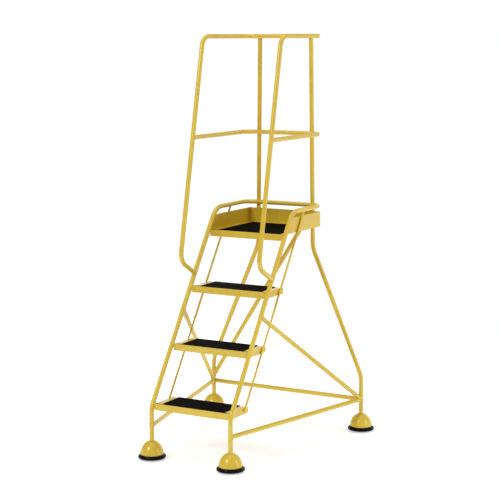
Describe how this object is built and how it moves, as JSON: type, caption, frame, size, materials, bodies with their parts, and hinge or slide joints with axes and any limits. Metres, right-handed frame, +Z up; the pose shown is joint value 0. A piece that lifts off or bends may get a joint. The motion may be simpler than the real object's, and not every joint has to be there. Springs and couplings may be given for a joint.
{
  "type": "rolling warehouse ladder",
  "caption": "Free-standing tube-framed access steps with a railed standing platform and domed rubber-ringed feet that hide spring-loaded swivel castors.",
  "frame": {"origin": "on the floor, at the middle of the footprint, under the castor wheels", "axes": "+Z up, +Y to the rear (the way a climber faces), +X to the climber's right"},
  "size_m": [0.994, 1.062, 1.978],
  "materials": {
    "tube_paint": "gloss powder coat",
    "sheet_paint": "gloss powder coat",
    "dome_paint": "gloss powder coat",
    "mat_rubber": "ribbed matt",
    "ring_rubber": "moulded satin",
    "black_plastic": "moulded",
    "bush_nylon": "turned",
    "zinc_steel": "zinc plated",
    "spring_steel": "drawn wire",
    "wheel_nylon": "moulded"
  },
  "bodies": {
    "frame": {"stile_hoop": "tube_paint", "handrail_hoop": "tube_paint", "mid_rail": "tube_paint", "rear_leg_left": "tube_paint", "rear_leg_right": "tube_paint", "base_side_tube_left": "tube_paint", "base_side_tube_right": "tube_paint", "rear_cross_tube": "tube_paint", "side_diagonal_left": "tube_paint", "side_diagonal_right": "tube_paint", "rear_diagonal": "tube_paint", "tread_rod_left": "tube_paint", "tread_rod_right": "tube_paint", "tread_1": "sheet_paint", "tread_2": "sheet_paint", "tread_3": "sheet_paint", "platform_tray": "sheet_paint", "tread_mat_1": "mat_rubber", "tread_mat_2": "mat_rubber", "tread_mat_3": "mat_rubber", "platform_mat": "mat_rubber", "rear_leg_caps": "black_plastic", "dome_front_left": "dome_paint", "rubber_ring_front_left": "ring_rubber", "guide_bush_front_left": "bush_nylon", "spring_front_left": "spring_steel", "dome_front_right": "dome_paint", "rubber_ring_front_right": "ring_rubber", "guide_bush_front_right": "bush_nylon", "spring_front_right": "spring_steel", "dome_rear_left": "dome_paint", "rubber_ring_rear_left": "ring_rubber", "guide_bush_rear_left": "bush_nylon", "spring_rear_left": "spring_steel", "dome_rear_right": "dome_paint", "rubber_ring_rear_right": "ring_rubber", "guide_bush_rear_right": "bush_nylon", "spring_rear_right": "spring_steel"},
    "plunger_front_left": {"plunger_stem_front_left": "zinc_steel", "retaining_clip_front_left": "spring_steel"},
    "castor_front_left": {"castor_fork_front_left": "zinc_steel", "castor_axle_front_left": "zinc_steel"},
    "wheel_front_left": {"castor_wheel_front_left": "wheel_nylon"},
    "plunger_front_right": {"plunger_stem_front_right": "zinc_steel", "retaining_clip_front_right": "spring_steel"},
    "castor_front_right": {"castor_fork_front_right": "zinc_steel", "castor_axle_front_right": "zinc_steel"},
    "wheel_front_right": {"castor_wheel_front_right": "wheel_nylon"},
    "plunger_rear_left": {"plunger_stem_rear_left": "zinc_steel", "retaining_clip_rear_left": "spring_steel"},
    "castor_rear_left": {"castor_fork_rear_left": "zinc_steel", "castor_axle_rear_left": "zinc_steel"},
    "wheel_rear_left": {"castor_wheel_rear_left": "wheel_nylon"},
    "plunger_rear_right": {"plunger_stem_rear_right": "zinc_steel", "retaining_clip_rear_right": "spring_steel"},
    "castor_rear_right": {"castor_fork_rear_right": "zinc_steel", "castor_axle_rear_right": "zinc_steel"},
    "wheel_rear_right": {"castor_wheel_rear_right": "wheel_nylon"}
  },
  "joints": [
    {"name": "plunger_travel_front_left", "type": "slide", "parent": "frame", "child": "plunger_front_left", "axis": [0, 0, 1], "range_m": [0, 0.0065], "stiffness_N_per_m": 12000, "springref_m": -0.006, "deforming": ["spring_front_left"]},
    {"name": "swivel_front_left", "type": "hinge", "parent": "plunger_front_left", "child": "castor_front_left", "pos_m": [-0.214, -0.465, 0.046], "axis": [0, 0, 1], "continuous": true},
    {"name": "wheel_spin_front_left", "type": "hinge", "parent": "castor_front_left", "child": "wheel_front_left", "pos_m": [-0.214, -0.455, 0.019], "axis": [1, 0, 0], "continuous": true},
    {"name": "plunger_travel_front_right", "type": "slide", "parent": "frame", "child": "plunger_front_right", "axis": [0, 0, 1], "range_m": [0, 0.0065], "stiffness_N_per_m": 12000, "springref_m": -0.006, "deforming": ["spring_front_right"]},
    {"name": "swivel_front_right", "type": "hinge", "parent": "plunger_front_right", "child": "castor_front_right", "pos_m": [0.214, -0.465, 0.046], "axis": [0, 0, 1], "continuous": true},
    {"name": "wheel_spin_front_right", "type": "hinge", "parent": "castor_front_right", "child": "wheel_front_right", "pos_m": [0.214, -0.455, 0.019], "axis": [1, 0, 0], "continuous": true},
    {"name": "plunger_travel_rear_left", "type": "slide", "parent": "frame", "child": "plunger_rear_left", "axis": [0, 0, 1], "range_m": [0, 0.0065], "stiffness_N_per_m": 12000, "springref_m": -0.006, "deforming": ["spring_rear_left"]},
    {"name": "swivel_rear_left", "type": "hinge", "parent": "plunger_rear_left", "child": "castor_rear_left", "pos_m": [-0.431, 0.465, 0.046], "axis": [0, 0, 1], "continuous": true},
    {"name": "wheel_spin_rear_left", "type": "hinge", "parent": "castor_rear_left", "child": "wheel_rear_left", "pos_m": [-0.431, 0.475, 0.019], "axis": [1, 0, 0], "continuous": true},
    {"name": "plunger_travel_rear_right", "type": "slide", "parent": "frame", "child": "plunger_rear_right", "axis": [0, 0, 1], "range_m": [0, 0.0065], "stiffness_N_per_m": 12000, "springref_m": -0.006, "deforming": ["spring_rear_right"]},
    {"name": "swivel_rear_right", "type": "hinge", "parent": "plunger_rear_right", "child": "castor_rear_right", "pos_m": [0.431, 0.465, 0.046], "axis": [0, 0, 1], "continuous": true},
    {"name": "wheel_spin_rear_right", "type": "hinge", "parent": "castor_rear_right", "child": "wheel_rear_right", "pos_m": [0.431, 0.475, 0.019], "axis": [1, 0, 0], "continuous": true}
  ]
}
